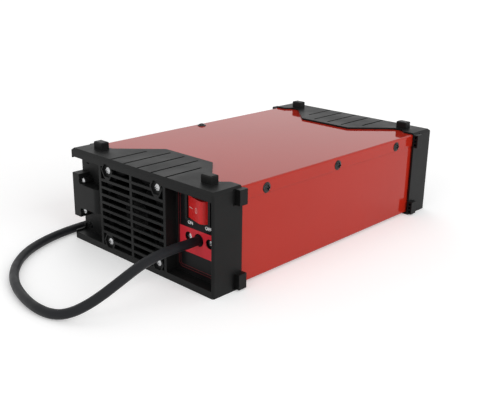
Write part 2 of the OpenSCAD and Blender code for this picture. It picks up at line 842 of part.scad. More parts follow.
module bottom_tray() {
    tall = 2 * body_h;
    color(red) translate([0, -housing_l / 2, 0]) difference() {
        across(0, housing_l) difference() {
            translate([0, tray_z + tall / 2]) round_rect(2 * tray_hw, tall, bend_r);
            translate([0, tray_floor + tall / 2]) round_rect(2 * (tray_hw - tray_t), tall, bend_r - tray_t);
            translate([-body_w, tray_top]) square([2 * body_w, 2 * tall]);
        }
        translate([0, housing_l / 2, 0]) side_screw_places()
            rod(0, -over, 0, cover_screw[2] / 2 + 0.1, 10);
        translate([0, housing_l / 2, 0]) standoff_places()
            translate([0, 0, -over]) cylinder(r = board_screw[2] / 2 + hole_gap, h = tray_floor + 2 * over);
    }
}

module end_plate() {
    across(housing_y, plate_t) translate([0, (plate_bottom + plate_top) / 2])
        round_rect(2 * plate_hw, plate_top - plate_bottom, bend_r - cover_t);
}

module rear_plate() {
    fan_hole = fan_size + 0.8;
    color(plate_black) difference() {
        end_plate();
        across(housing_y - over, plate_t + 2 * over) {
            translate([grille_x, mid_z]) square(fan_hole, center = true);
            translate([inlet_x, switch_z]) switch_hole();
        }
        rod(cord_x, housing_y - over, inlet_z, inlet_dia / 2 - 0.9, plate_t + 2 * over);
        inlet_corners() rod(0, housing_y - over, 0, small_screw[2] / 2 + 0.1, plate_t + 2 * over);
        rear_screw_places() rod(0, 0, 0, sunk_screw[2] / 2 + 0.1, 10);
        hook_screw_places() rod(0, 0, 0, small_screw[2] / 2 + 0.1, 10);
    }
}

module rear_bezel_screws() {
    color("#2c2d2f") rear_screw_places() sunk_screw_body(floor_t + plate_t + 4);
}

/* Control end */
panel_w = body_w - 2 * rim_t - 2;
display_x = -panel_w / 2 + 14 + display_w / 2;
display_z = opening_top - 10 - display_h / 2;
display_t = 1.4;
button_z = display_z - display_h / 2 - 13;
socket_x = panel_w / 2 - 16 - socket_pitch / 2 - socket_dia / 2;
button_gap = 0.35;
button_proud = 2.2;
board_gap = 3;

// The bezel is open behind the recess, but for a flange that the panel clamps to the end plate
flange_w = 3;
window_w = 2 * (half_w - rim_t - flange_w);
window_h = opening_top - opening_bottom - 2 * flange_w;
window_z = (opening_bottom + opening_top) / 2;

module panel_window(gap) {
    translate([0, window_z]) square([window_w - 2 * gap, window_h - 2 * gap], center = true);
}

// Holes for the display, the buttons and the output sockets
module control_holes() {
    translate([display_x, display_z]) square([display_w, display_h], center = true);
    button_row() circle(button_dia / 2 + 1.2);
    socket_row() circle(socket_dia / 2 - 2);
}

module front_bezel() {
    color(black) difference() {
        union() {
            bezel_frame();
            rim_wall(1);
            rim_wall(-1);
        }
        pad_grooves();
        hook_pockets();
        across(recess_d - over, floor_t + 2 * over) panel_window(0);
    }
}

module button_row() {
    for (n = [-1 : 1]) translate([display_x + n * button_pitch, button_z]) children();
}

module socket_row() {
    for (side = [-1, 1]) translate([socket_x + side * socket_pitch / 2, mid_z]) children();
}

module front_plate() {
    color(plate_black) difference() {
        end_plate();
        front_screw_places() rod(0, 0, 0, sunk_screw[2] / 2 + 0.1, 10);
        across(housing_y - over, plate_t + 2 * over) control_holes();
    }
}

module front_panel() {
    color(black) difference() {
        union() {
            across(label_y, label_t) translate([0, window_z])
                square([panel_w, opening_top - opening_bottom - 2], center = true);
            across(recess_d, floor_t) panel_window(fit);
        }
        across(label_y - over, label_t + 2 * over) {
            translate([display_x, display_z]) square([display_w - 4, display_h - 4], center = true);
            button_row() circle(button_dia / 2 + button_gap);
            socket_row() circle(socket_dia / 2 - 2);
        }
        across(recess_d, floor_t + over) control_holes();
        front_screw_places() {
            rod(0, -label_t - over, 0, sunk_screw[0] / 2 + 0.8, label_t + over);
            sunk_hole();
        }
    }
}

module display_window() {
    color("#3d4a52") across(recess_d, display_t) translate([display_x, display_z])
        square([display_w - 0.4, display_h - 0.4], center = true);
}

module display_board() {
    board_rim = 5;
    leg_r = 2;
    front = housing_y + plate_t + board_gap;
    low = button_z - 2 * leg_r - board_rim;
    high = display_z + display_h / 2 + leg_r + 1;
    color("#2f6b45") {
        across(front, 1.6) translate([display_x, (low + high) / 2])
            square([display_w + 2 * board_rim, high - low], center = true);
        // Display module that stands behind the window
        across(recess_d + display_t, front - recess_d - display_t) translate([display_x, display_z])
            square([display_w - 1, display_h - 1], center = true);
        // Legs that hold the board off the end plate
        for (x = [-1, 1], z = [low + leg_r + 1, high - leg_r - 1])
            rod(display_x + x * (display_w / 2 + board_rim / 2), housing_y + plate_t, z, leg_r,
                board_gap + 0.5);
    }
}

// A button: cap, retaining flange and stem, all turned about Y
module button(n) {
    cap_front = label_y - button_proud;
    stem_end = housing_y + plate_t + board_gap - button_travel - 0.3;
    x = display_x + n * button_pitch;
    color(plate_black) {
        rod(x, cap_front + 0.6, button_z, button_dia / 2, recess_d + 0.3 + 0.8 - cap_front - 0.6);
        rod(x, cap_front, button_z, button_dia / 2 - 0.6, 1);
        rod(x, recess_d + 0.3, button_z, button_dia / 2 + 0.8, 0.9);
        rod(x, recess_d + 1, button_z, 1.6, stem_end - recess_d - 1);
    }
}

module output_socket(side) {
    x = socket_x + side * socket_pitch / 2;
    nose_l = 5;
    nut_l = 4;
    tail_l = 14;
    key_l = 8;
    front = label_y - nose_l;
    bore_l = 24;
    difference() {
        union() {
            rod(x, front, mid_z, socket_dia / 2, nose_l);
            rod(x, label_y, mid_z, socket_dia / 2 - 2.2, housing_y + plate_t - label_y);
            rod(x, housing_y + plate_t, mid_z, socket_dia / 2, nut_l);
            rod(x, housing_y + plate_t, mid_z, socket_dia / 2 - 3.5, tail_l);
        }
        rod(x, front - over, mid_z, socket_bore / 2, bore_l + over);
        // Keyway of the plug's lug
        block([x - 1.2, front - over, mid_z], [x + 1.2, front + key_l, mid_z + socket_bore / 2 + 1.6]);
    }
}

module front_bezel_screws() {
    color("#2c2d2f") front_screw_places() sunk_screw_body(floor_t + plate_t + board_gap - 0.5);
}

/* Inner parts, on the tray's floor */
board_z = tray_floor + standoff_h;
board_t = 1.6;
board_top = board_z + board_t;
board_y = 12;
board_screw_l = 6;
// Room between a heatsink's end and the board's
sink_end = 38;
sink_l = board_l - 2 * sink_end;
fin_reach = 16;
// The fins end short of the screws along the board's edges
screw_inset = 6;
sink_x = board_w / 2 - 2 * screw_inset - fin_reach;

module standoff_places() {
    for (x = [-1, 1], y = [-1, 0, 1])
        translate([x * (board_w / 2 - screw_inset), board_y + y * (board_l / 2 - screw_inset), 0])
            children();
}

module board_standoffs() {
    color(silver) standoff_places() translate([0, 0, tray_floor]) difference() {
        cylinder(r = 3.2, h = standoff_h, $fn = 6);
        translate([0, 0, -over]) cylinder(r = board_screw[2] / 2 + 0.1, h = standoff_h + 2 * over);
    }
}

module circuit_board() {
    color("#2f6b45") difference() {
        translate([-board_w / 2, board_y - board_l / 2, board_z]) cube([board_w, board_l, board_t]);
        standoff_places() translate([0, 0, board_z - over])
            cylinder(r = board_screw[2] / 2 + hole_gap, h = board_t + 2 * over);
    }
}

module board_screws() {
    color(silver) standoff_places() translate([0, 0, board_top]) rotate([-90, 0, 0])
        pan_screw(board_screw, board_screw_l);
}

// Comb-shaped extrusion: a web with fins on the outer side
module heatsink(side) {
    web = 4;
    fin_t = 3;
    fin_pitch = (sink_h - fin_t) / (sink_fins - 1);
    translate([side * sink_x, board_y - sink_l / 2, board_top]) mirror([side < 0 ? 1 : 0, 0, 0])
        color("#9fa3a6") across(0, sink_l) {
            square([web, sink_h]);
            for (n = [0 : sink_fins - 1]) translate([0, n * fin_pitch]) square([fin_reach, fin_t]);
        }
}

// Thickness, width, height and spacing of a transistor, and the length of its legs
transistor_t = 5;
transistor_w = 16;
transistor_h = 20;
transistor_pitch = 28;
leg_l = 4;

module power_transistors() {
    color("#202124") for (side = [-1, 1], n = [-2 : 2])
        translate([side * (sink_x - transistor_t / 2), board_y + n * transistor_pitch, board_top]) {
            translate([-transistor_t / 2, -transistor_w / 2, leg_l])
                cube([transistor_t, transistor_w, transistor_h]);
            for (leg = [-1 : 1]) translate([-0.4, leg * transistor_w / 3 - 0.6, 0])
                cube([0.8, 1.2, leg_l + 0.1]);
        }
}

// Transformer: width, height and depth of its core, thickness of the yokes, reach of the winding
core_y = -30;
core_w = 54;
core_h = 44;
core_l = 30;
yoke_t = 8;
winding_reach = 8;
core_gap = 0.3;

module transformer_core() {
    color("#45474a") translate([0, core_y, board_top]) difference() {
        translate([-core_w / 2, -core_l / 2, 0]) cube([core_w, core_l, core_h]);
        for (side = [-1, 1]) translate([side * core_w / 4, 0, core_h / 2])
            cube([core_w / 4 - 1, core_l + 2 * over, core_h - 2 * yoke_t], center = true);
    }
}

module transformer_winding() {
    limb_w = core_w / 4 + 1;
    winding_h = core_h - 2 * yoke_t - 2 * core_gap;
    color("#b98a2e") translate([0, core_y, board_top + core_h / 2]) difference() {
        cube([core_w * 3 / 4 - 1 - 4 * core_gap, core_l + 2 * winding_reach, winding_h], center = true);
        cube([limb_w + 2 * core_gap, core_l + 2 * core_gap, winding_h + 2 * over], center = true);
    }
}

// The choke and the capacitors keep clear of the transistors
choke_r = 14;
choke_w = 12;
choke_h = 18;
choke_gap = 3;
choke_place = [-(sink_x - transistor_t - choke_gap - choke_r - choke_w / 2), 62];

module filter_choke() {
    color("#a8702a") translate([choke_place.x, choke_place.y, board_top]) rotate_extrude()
        translate([choke_r, choke_h / 2]) round_rect(choke_w, choke_h, 3);
}

cap_place = [sink_x / 2, 50];
cap_h = 42;
cap_gap = 3;
// Depth of the vent cross in a capacitor's top
vent_d = 0.6;

module bulk_capacitors() {
    color("#2b3a63") for (n = [-1 : 1])
        translate([cap_place.x, cap_place.y + n * (cap_dia + cap_gap), board_top]) difference() {
            cylinder(r = cap_dia / 2, h = cap_h);
            translate([0, 0, cap_h - vent_d + over]) for (turn = [0, 90]) rotate([0, 0, turn])
                cube([cap_dia * 0.7, 0.8, 2 * over], center = true);
        }
}

near_end() rear_bezel();
far_end() front_bezel();
top_cover();
bottom_tray();
near_end() rear_plate();
far_end() front_plate();
near_end() cable_hook();
near_end() hook_screws();
near_end() fan_frame();
near_end() fan_rotor();
near_end() fan_screws();
near_end() inlet_label();
near_end() inlet_screws();
near_end() switch_body();
near_end() switch_rocker();
near_end() cord_gland();
mains_cord();
cord_coil();
cord_tie();
mains_plug();
near_end() rear_bezel_screws();
far_end() front_bezel_screws();
cover_screws();
far_end() front_panel();
far_end() display_window();
far_end() display_board();
far_end() button(-1);  // mode_button
far_end() button(0);  // plus_button
far_end() button(1);  // minus_button
color("#a5242a") far_end() output_socket(-1);  // positive_socket
color(black) far_end() output_socket(1);  // negative_socket
circuit_board();
board_standoffs();
board_screws();
heatsink(-1);  // left_heatsink
heatsink(1);  // right_heatsink
power_transistors();
transformer_core();
transformer_winding();
filter_choke();
bulk_capacitors();
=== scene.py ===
"""Finishes, cord, printed marks and studio of a bench battery charger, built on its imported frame."""
import math

import bmesh
import bpy
from bpy.props import FloatProperty, FloatVectorProperty, PointerProperty
from mathutils import Matrix, Vector


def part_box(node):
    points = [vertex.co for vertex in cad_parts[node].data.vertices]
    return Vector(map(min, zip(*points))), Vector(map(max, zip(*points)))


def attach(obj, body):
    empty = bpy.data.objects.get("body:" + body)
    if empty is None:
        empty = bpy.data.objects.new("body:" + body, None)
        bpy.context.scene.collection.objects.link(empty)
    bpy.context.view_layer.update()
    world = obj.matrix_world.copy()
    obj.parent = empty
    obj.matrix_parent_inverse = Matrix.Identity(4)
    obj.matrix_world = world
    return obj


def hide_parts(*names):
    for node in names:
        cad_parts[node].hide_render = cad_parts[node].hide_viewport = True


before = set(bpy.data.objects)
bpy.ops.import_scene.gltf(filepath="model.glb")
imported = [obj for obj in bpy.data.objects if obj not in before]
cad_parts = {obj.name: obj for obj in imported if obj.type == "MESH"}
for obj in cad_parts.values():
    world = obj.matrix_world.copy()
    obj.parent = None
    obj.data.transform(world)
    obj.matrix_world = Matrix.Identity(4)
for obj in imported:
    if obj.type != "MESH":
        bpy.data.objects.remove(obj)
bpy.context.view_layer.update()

bl_info = {
    "name": "Bench battery charger",
    "version": (1, 0, 0),
    "blender": (4, 5, 0),
    "location": "3D View > Sidebar > Charger",
    "description": "Finishes, mains cord, printed marks and studio of a bench battery charger",
    "category": "Object",
}

MM = 0.001
BODY = "charger"

# The cord's route to its coil, in millimetres, as the part's source has it
CORD_ROUTE = (
    (70.8, -158.8, 42.4), (70.8, -172, 42.4), (70.8, -186, 42.4), (70.8, -199, 42), (70.8, -210, 40.8),
    (70.6, -221, 38.4), (69.9, -233, 34), (67.8, -245, 28), (64, -256, 21.2), (58.5, -266, 14.6),
    (51, -274.6, 9), (42, -281, 5.6), (31, -285, 4.4), (18, -286.6, 4.3), (3, -285.6, 4.3),
    (-13, -282.6, 4.3), (-30, -277.6, 4.3), (-48, -269.6, 4.3), (-65, -258.6, 4.3), (-80, -245, 4.3),
    (-92.6, -229, 4.3), (-102, -211, 4.3), (-108.6, -192, 4.3), (-112.6, -172, 4.3),
    (-114.4, -150, 4.3), (-114.8, -125, 4.3), (-114.8, -95, 4.3), (-114.8, -60, 4.3),
    (-114.8, -25, 4.3), (-114.8, 5, 4.6), (-114.8, 25, 5.2),
)

# Angles round the coil in degrees: its end, the step between points, and the spans in which the cord
# moves in to the inner turns, up to the second layer and out again
COIL_END = 1260
COIL_STEP = 15
COIL_IN = (300, 350)
COIL_UP = (610, 670)
COIL_OUT = (940, 990)

# Steps of the cord from the coil's end, and before the plug
FROM_COIL = Vector((0, -8 * MM, 1.2 * MM))
BEFORE_PLUG = Vector((0, 8 * MM, -0.6 * MM))

# The font's size and how much bolder it is made, over the height of its capitals
FONT_SIZE = 1.4
FONT_BOLDNESS = 0.055
# Corner radius of the dash on the rocker over its stroke
DASH_ROUNDING = 0.4
# How far in front of the rocker a mark starts on its way to the face
MARK_APPROACH = 20 * MM

# Soft lamps: name, place and side of the square in metres, power in watts
LAMPS = (
    ("side_lamp", (1.9, -0.2, 1.0), 1.4, 26),
    ("front_lamp", (0.3, -2.0, 1.1), 1.2, 8),
    ("top_lamp", (-0.4, 0.6, 2.2), 1.6, 4),
    ("back_lamp", (-1.8, 1.5, 0.8), 1.4, 14),
)
LAMP_AIM = (0, 0, 0.05)
# Strength of the surroundings where they are seen or mirrored, and for the light that they cast
WHITE = 1.0
AMBIENT = 0.5


def mm_points(points):
    return [Vector(p) * MM for p in points]


def colour_prop(name, what, default):
    return FloatVectorProperty(name=name, description=what, subtype="COLOR", size=3, min=0, max=1,
                               default=default)


def length_prop(name, what, default):
    return FloatProperty(name=name, description=what, subtype="DISTANCE", unit="LENGTH", default=default)


def share_prop(name, what, default):
    return FloatProperty(name=name, description=what, subtype="FACTOR", min=0, max=1, default=default)


def angle_prop(name, what, degrees):
    return FloatProperty(name=name, description=what, subtype="ANGLE", unit="ROTATION",
                         default=math.radians(degrees))


class ChargerColours(bpy.types.PropertyGroup):
    paint: colour_prop("Paint", "Gloss red of the housing", (0.392, 0.018, 0.008))
    moulding: colour_prop("Moulding", "Black plastic of the end bezels", (0.0058, 0.006, 0.006))
    plating: colour_prop("Plating", "Bright plating of the small screws", (0.5, 0.505, 0.51))
    # Painted shade: the dark colour given to the bright screws' recesses
    plating_recess_shade: colour_prop("Plating recess shade", "Painted shade in the bright screws' recesses", (0.012, 0.012, 0.012))
    oxide: colour_prop("Oxide", "Black oxide of the large screws", (0.035, 0.036, 0.037))
    oxide_dull: colour_prop("Dull oxide", "Dull patches of the black oxide", (0.02, 0.021, 0.022))
    oxide_worn: colour_prop("Worn oxide", "Worn patches of the black oxide", (0.06, 0.06, 0.06))
    powder_coat: colour_prop("Powder coat", "Black coat of the steel end plates", (0.008, 0.008, 0.0085))
    mains_film: colour_prop("Mains film", "Black ground of the mains panel", (0.005, 0.005, 0.0055))
    band: colour_prop("Band", "Red printed on the mains panel", (0.66, 0.03, 0.045))
    border: colour_prop("Border", "Border lines of the mains panel", (0.2, 0.03, 0.035))
    ink: colour_prop("Ink", "White of the printed words", (0.85, 0.85, 0.85))
    switch: colour_prop("Switch", "Black plastic of the switch's body", (0.008, 0.008, 0.0085))
    rocker: colour_prop("Rocker", "Red of the rocker", (0.62, 0.02, 0.02))
    mark: colour_prop("Mark", "Pale marks on the rocker", (0.75, 0.5, 0.48))
    rubber: colour_prop("Rubber", "Sheath of the mains cord", (0.0055, 0.006, 0.0075))
    tie: colour_prop("Tie", "Black plastic of the cord's tie", (0.02, 0.02, 0.02))
    control_film: colour_prop("Control film", "Black film of the control panel", (0.006, 0.006, 0.0065))
    window: colour_prop("Window", "Smoked window of the display", (0.006, 0.009, 0.011))
    button: colour_prop("Button", "Grey plastic of the buttons", (0.08, 0.082, 0.085))
    positive: colour_prop("Positive socket", "Red plastic of the positive output", (0.42, 0.01, 0.014))
    negative: colour_prop("Negative socket", "Black plastic of the negative output",
                          (0.007, 0.007, 0.0075))


class ChargerInnerColours(bpy.types.PropertyGroup):
    fan_frame: colour_prop("Fan frame", "Black plastic of the fan's frame", (0.0018, 0.0018, 0.002))
    fan_rotor: colour_prop("Fan rotor", "Black plastic of the fan's rotor", (0.002, 0.002, 0.0022))
    solder_mask: colour_prop("Solder mask", "Green of the boards", (0.02, 0.12, 0.05))
    solder_mask_pale: colour_prop("Pale solder mask", "Paler fields of the boards", (0.022, 0.15, 0.06))
    track: colour_prop("Track", "Copper tracks under the solder mask", (0.05, 0.26, 0.1))
    aluminium: colour_prop("Aluminium", "Extruded heat sinks", (0.78, 0.79, 0.8))
    brass: colour_prop("Brass", "Standoffs under the board", (0.78, 0.58, 0.28))
    transistor: colour_prop("Transistor", "Moulded cases of the transistors", (0.012, 0.012, 0.012))
    ferrite: colour_prop("Ferrite", "Core of the transformer", (0.05, 0.05, 0.052))
    tape: colour_prop("Tape", "Yellow tape round the transformer's winding", (0.6, 0.36, 0.04))
    wire: colour_prop("Wire", "Enamelled wire of the choke", (0.45, 0.17, 0.05))
    sleeve: colour_prop("Sleeve", "Sleeves of the capacitors", (0.02, 0.035, 0.16))


class ChargerCord(bpy.types.PropertyGroup):
    diameter: length_prop("Diameter", "Outside diameter of the cord", 8.5 * MM)
    coil_x: length_prop("Coil X", "Middle of the coil", -165 * MM)
    coil_y: length_prop("Coil Y", "Middle of the coil", 45 * MM)
    coil_radius: length_prop("Coil radius", "Mean radius of the coil's turns", 46 * MM)
    tie_thickness: length_prop("Tie thickness", "Thickness of the tie under the coil", 1 * MM)


class ChargerMarks(bpy.types.PropertyGroup):
    word_height: length_prop("Word height", "Height of the letters beside the switch", 2.95 * MM)
    word_z: length_prop("Word Z", "Middle of the words above the floor", 56 * MM)
    on_x: length_prop("ON X", "Middle of the word ON", 60.4 * MM)
    off_x: length_prop("OFF X", "Middle of the word OFF", 82.7 * MM)
    band_low: length_prop("Band low", "Lower edge of the red band", 27.6 * MM)
    band_high: length_prop("Band high", "Upper edge of the red band", 51.1 * MM)
    band_inset: length_prop("Band inset", "Distance of the band from the plate's left edge", 2.1 * MM)
    border_side: length_prop("Border side", "Distance of the border line from the plate's sides", 0.7 * MM)
    border_end: length_prop("Border end", "Distance of the border line from top and bottom", 1.9 * MM)
    corner_cut: length_prop("Corner cut", "How much the border line cuts off each corner", 3.4 * MM)
    line_width: length_prop("Line width", "Width of the border lines", 0.35 * MM)
    line_gap: length_prop("Line gap", "Distance between the two border lines", 2.4 * MM)
    rocker_dash: length_prop("Rocker dash", "Length of the on mark on the rocker", 6.4 * MM)
    rocker_ring: length_prop("Rocker ring", "Height of the off mark on the rocker", 5 * MM)
    rocker_stroke: length_prop("Rocker stroke", "Stroke of both marks on the rocker", 0.6 * MM)
    print_rise: length_prop("Print rise", "How far the ink stands on its surface", 0.06 * MM)
    ring_share: share_prop("Ring share", "Width of the off mark as a share of its height", 0.72)
    on_share: share_prop("On share", "Place of the on mark across the rocker", 0.18)
    off_share: share_prop("Off share", "Place of the off mark across the rocker", 0.54)


class ChargerStage(bpy.types.PropertyGroup):
    camera_x: length_prop("Camera X", "Place of the camera", 0.50469)
    camera_y: length_prop("Camera Y", "Place of the camera", -0.55907)
    camera_z: length_prop("Camera Z", "Place of the camera", 0.27987)
    azimuth: angle_prop("Azimuth", "Turn of the view from the Y axis", 43.02)
    elevation: angle_prop("Elevation", "Dip of the view", 18.73)
    roll: angle_prop("Roll", "Roll of the camera", 1.03)
    lens: FloatProperty(name="Lens", description="Focal length in millimetres",
                        subtype="DISTANCE_CAMERA", unit="CAMERA", default=52.79)
    floor_size: length_prop("Floor size", "Side of the floor", 40.0)
    floor: colour_prop("Floor", "Matt white of the floor", (0.86, 0.86, 0.86))
    floor_pale: colour_prop("Pale floor", "Paler patches of the floor", (0.88, 0.88, 0.88))
    glow_near: share_prop("Near glow", "Glow of the floor under the lamps", 0.25)
    glow_far: share_prop("Far glow", "Glow of the floor where the lamps reach least", 0.58)
    glow_start: length_prop("Glow start", "Distance from the middle where the glow starts to grow", 0.3)
    glow_stop: length_prop("Glow stop", "Distance from the middle where the glow stops growing", 2.8)


# Nodes that the materials share

def start_material(name, colour, roughness, metallic=0.0, specular=0.5):
    """A new material with its shader's plain values set, and Object coordinates to read."""
    material = bpy.data.materials.new(name)
    material.use_nodes = True
    tree = material.node_tree
    shader = tree.nodes["Principled BSDF"]
    shader.inputs["Base Color"].default_value = (*colour, 1)
    shader.inputs["Roughness"].default_value = roughness
    shader.inputs["Metallic"].default_value = metallic
    shader.inputs["Specular IOR Level"].default_value = specular
    place = tree.nodes.new("ShaderNodeTexCoord")
    return material, tree, shader, place.outputs["Object"]


def noise(tree, vector, scale, detail=3.0, stretch=None):
    """Noise of so many cells to the metre, drawn out along the axes whose stretch is below 1."""
    if stretch:
        mapping = tree.nodes.new("ShaderNodeMapping")
        mapping.inputs["Scale"].default_value = stretch
        tree.links.new(vector, mapping.inputs["Vector"])
        vector = mapping.outputs["Vector"]
    texture = tree.nodes.new("ShaderNodeTexNoise")
    texture.inputs["Scale"].default_value = scale
    texture.inputs["Detail"].default_value = detail
    tree.links.new(vector, texture.inputs["Vector"])
    return texture.outputs["Fac"]


def spread(tree, value, low, high, start=0.35, stop=0.65):
    """Maps the middle of a noise, or the given span of another value, to a range."""
    ramp = tree.nodes.new("ShaderNodeMapRange")
    ramp.inputs["From Min"].default_value = start
    ramp.inputs["From Max"].default_value = stop
    ramp.inputs["To Min"].default_value = low
    ramp.inputs["To Max"].default_value = high
    tree.links.new(value, ramp.inputs["Value"])
    return ramp.outputs["Result"]


def blend_colours(tree, factor, first, second):
    """Goes from the first colour to the second, each a colour or another node's output."""
    mix = tree.nodes.new("ShaderNodeMix")
    mix.data_type = "RGBA"
    for socket, colour in ((mix.inputs["A"], first), (mix.inputs["B"], second)):
        if isinstance(colour, bpy.types.NodeSocket):
            tree.links.new(colour, socket)
        else:
            socket.default_value = (*colour, 1)
    tree.links.new(factor, mix.inputs["Factor"])
    return mix.outputs["Result"]


def calculate(tree, operation, first, second=0):
    """One step of arithmetic on numbers or other nodes' outputs."""
    step = tree.nodes.new("ShaderNodeMath")
    step.operation = operation
    for socket, value in zip(step.inputs, (first, second)):
        if isinstance(value, bpy.types.NodeSocket):
            tree.links.new(value, socket)
        else:
            socket.default_value = value
    return step.outputs["Value"]


def relief(tree, shader, height, depth, rounding=0.0):
    """Bump of the given depth in metres on edges that the bevel node rounds."""
    bump = tree.nodes.new("ShaderNodeBump")
    bump.inputs["Distance"].default_value = depth
    tree.links.new(height, bump.inputs["Height"])
    if rounding:
        bevel = tree.nodes.new("ShaderNodeBevel")
        bevel.samples = 4
        bevel.inputs["Radius"].default_value = rounding
        tree.links.new(bevel.outputs["Normal"], bump.inputs["Normal"])
    tree.links.new(bump.outputs["Normal"], shader.inputs["Normal"])


def dusty(colour):
    return tuple(min(1, c * 1.5 + 0.002) for c in colour)


def darker(colour, share):
    return tuple(c * share for c in colour)


# Finishes

def moulded_plastic(name, colour, roughness=0.42, grain=0.02 * MM, rounding=0.3 * MM, specular=0.13):
    """Injection-moulded plastic: fine spark-eroded grain, slightly uneven gloss, rounded edges."""
    material, tree, shader, place = start_material(name, colour, roughness, specular=specular)
    patches = noise(tree, place, scale=35)
    tree.links.new(spread(tree, patches, roughness - 0.05, roughness + 0.06), shader.inputs["Roughness"])
    tree.links.new(blend_colours(tree, spread(tree, patches, 0, 0.6), colour, dusty(colour)),
                   shader.inputs["Base Color"])
    relief(tree, shader, noise(tree, place, scale=1600, detail=2), grain, rounding)
    return material


def glossy_plastic(name, colour, roughness, rounding=0.3 * MM, specular=0.5, coat=0.0):
    """Polished plastic with faint patches of duller gloss, under a clear coat if asked."""
    material, tree, shader, place = start_material(name, colour, roughness, specular=specular)
    shader.inputs["Coat Weight"].default_value = coat
    shader.inputs["Coat Roughness"].default_value = 0.05
    patches = noise(tree, place, scale=60)
    tree.links.new(spread(tree, patches, roughness - 0.03, roughness + 0.05), shader.inputs["Roughness"])
    relief(tree, shader, noise(tree, place, scale=220, detail=2), 0.01 * MM, rounding)
    return material


def gloss_paint(name, colour):
    """Glossy enamel with faint orange peel over slightly uneven red."""
    material, tree, shader, place = start_material(name, colour, roughness=0.06, specular=0.25)
    patches = noise(tree, place, scale=9)
    tree.links.new(blend_colours(tree, spread(tree, patches, 0, 1), colour, darker(colour, 0.95)),
                   shader.inputs["Base Color"])
    tree.links.new(spread(tree, noise(tree, place, scale=40), 0.045, 0.075), shader.inputs["Roughness"])
    relief(tree, shader, noise(tree, place, scale=260, detail=2), 0.0015 * MM, rounding=0.4 * MM)
    return material


def coated_sheet(name, colour):
    """Powder coat on sheet steel: a low, coarse orange peel."""
    material, tree, shader, place = start_material(name, colour, roughness=0.45, specular=0.2)
    peel = noise(tree, place, scale=420, detail=2)
    tree.links.new(spread(tree, peel, 0.4, 0.55), shader.inputs["Roughness"])
    relief(tree, shader, peel, 0.03 * MM, rounding=0.2 * MM)
    return material


def bare_metal(name, colour, roughness, brushed=None):
    """Metal with fine marks, stretched along its brushing where it has one."""
    material, tree, shader, place = start_material(name, colour, roughness, metallic=1.0)
    marks = noise(tree, place, scale=700, stretch=brushed)
    tree.links.new(spread(tree, marks, roughness - 0.08, roughness + 0.1), shader.inputs["Roughness"])
    relief(tree, shader, marks, 0.008 * MM, rounding=0.1 * MM)
    return material


def plated_screw(name, colour, shade_colour, roughness):
    """Bright plating with fine marks, darkened deep in the recess and under the head by painted shade from
    an ambient occlusion mask.
    """
    material, tree, shader, place = start_material(name, colour, roughness, metallic=1.0)
    marks = noise(tree, place, scale=700)
    # Painted shade: the ambient occlusion mask darkens the plating deep in the recess and under the head
    openness = tree.nodes.new("ShaderNodeAmbientOcclusion")
    openness.samples = 8
    openness.inputs["Distance"].default_value = 0.8 * MM
    unshaded = spread(tree, openness.outputs["AO"], 0, 1, start=0.25, stop=0.7)
    tree.links.new(blend_colours(tree, unshaded, shade_colour, colour), shader.inputs["Base Color"])
    tree.links.new(spread(tree, marks, roughness - 0.06, roughness + 0.08), shader.inputs["Roughness"])
    relief(tree, shader, marks, 0.008 * MM, rounding=0.1 * MM)
    return material


def dark_fastener(name, colours):
    """Black oxide over steel, worn a little in patches."""
    material, tree, shader, place = start_material(name, colours.oxide, roughness=0.25, metallic=0.9)
    marks = noise(tree, place, scale=900, detail=4)
    tree.links.new(spread(tree, marks, 0.18, 0.34), shader.inputs["Roughness"])
    tree.links.new(blend_colours(tree, spread(tree, marks, 0, 1), colours.oxide_dull, colours.oxide_worn),
                   shader.inputs["Base Color"])
    relief(tree, shader, marks, 0.02 * MM, rounding=0.2 * MM)
    return material


def cord_rubber(name, colour):
    """Matt sheath with a fine extruded grain and a little dust."""
    material, tree, shader, place = start_material(name, colour, roughness=0.5, specular=0.25)
    patches = noise(tree, place, scale=90)
    tree.links.new(blend_colours(tree, spread(tree, patches, 0, 0.5), colour, dusty(colour)),
                   shader.inputs["Base Color"])
    tree.links.new(spread(tree, patches, 0.42, 0.56), shader.inputs["Roughness"])
    relief(tree, shader, noise(tree, place, scale=1100, detail=2), 0.03 * MM)
    return material


def circuit_laminate(name, colours):
    """Solder mask with lighter copper tracks that run square across it."""
    material, tree, shader, place = start_material(name, colours.solder_mask, roughness=0.35)
    tracks = tree.nodes.new("ShaderNodeTexBrick")
    tracks.inputs["Scale"].default_value = 90
    tracks.inputs["Mortar Size"].default_value = 0.03
    tracks.inputs["Color1"].default_value = (*colours.solder_mask, 1)
    tracks.inputs["Color2"].default_value = (*colours.solder_mask_pale, 1)
    tracks.inputs["Mortar"].default_value = (*colours.track, 1)
    tree.links.new(place, tracks.inputs["Vector"])
    tree.links.new(tracks.outputs["Color"], shader.inputs["Base Color"])
    relief(tree, shader, tracks.outputs["Fac"], 0.03 * MM)
    return material


def wound_wire(name, colour, scale):
    """Turns of wire or tape side by side."""
    material, tree, shader, place = start_material(name, colour, roughness=0.35)
    waves = tree.nodes.new("ShaderNodeTexWave")
    waves.inputs["Scale"].default_value = scale
    waves.inputs["Distortion"].default_value = 0.6
    tree.links.new(place, waves.inputs["Vector"])
    tree.links.new(blend_colours(tree, waves.outputs["Fac"], darker(colour, 0.55), colour),
                   shader.inputs["Base Color"])
    relief(tree, shader, waves.outputs["Fac"], 0.2 * MM)
    return material


def past_edge(tree, value, low, high, inset):
    """How far a coordinate lies outside two edges that stand so far in from low and high."""
    away = calculate(tree, "ABSOLUTE", calculate(tree, "SUBTRACT", value, (low + high) / 2))
    return calculate(tree, "SUBTRACT", away, (high - low) / 2 - inset)


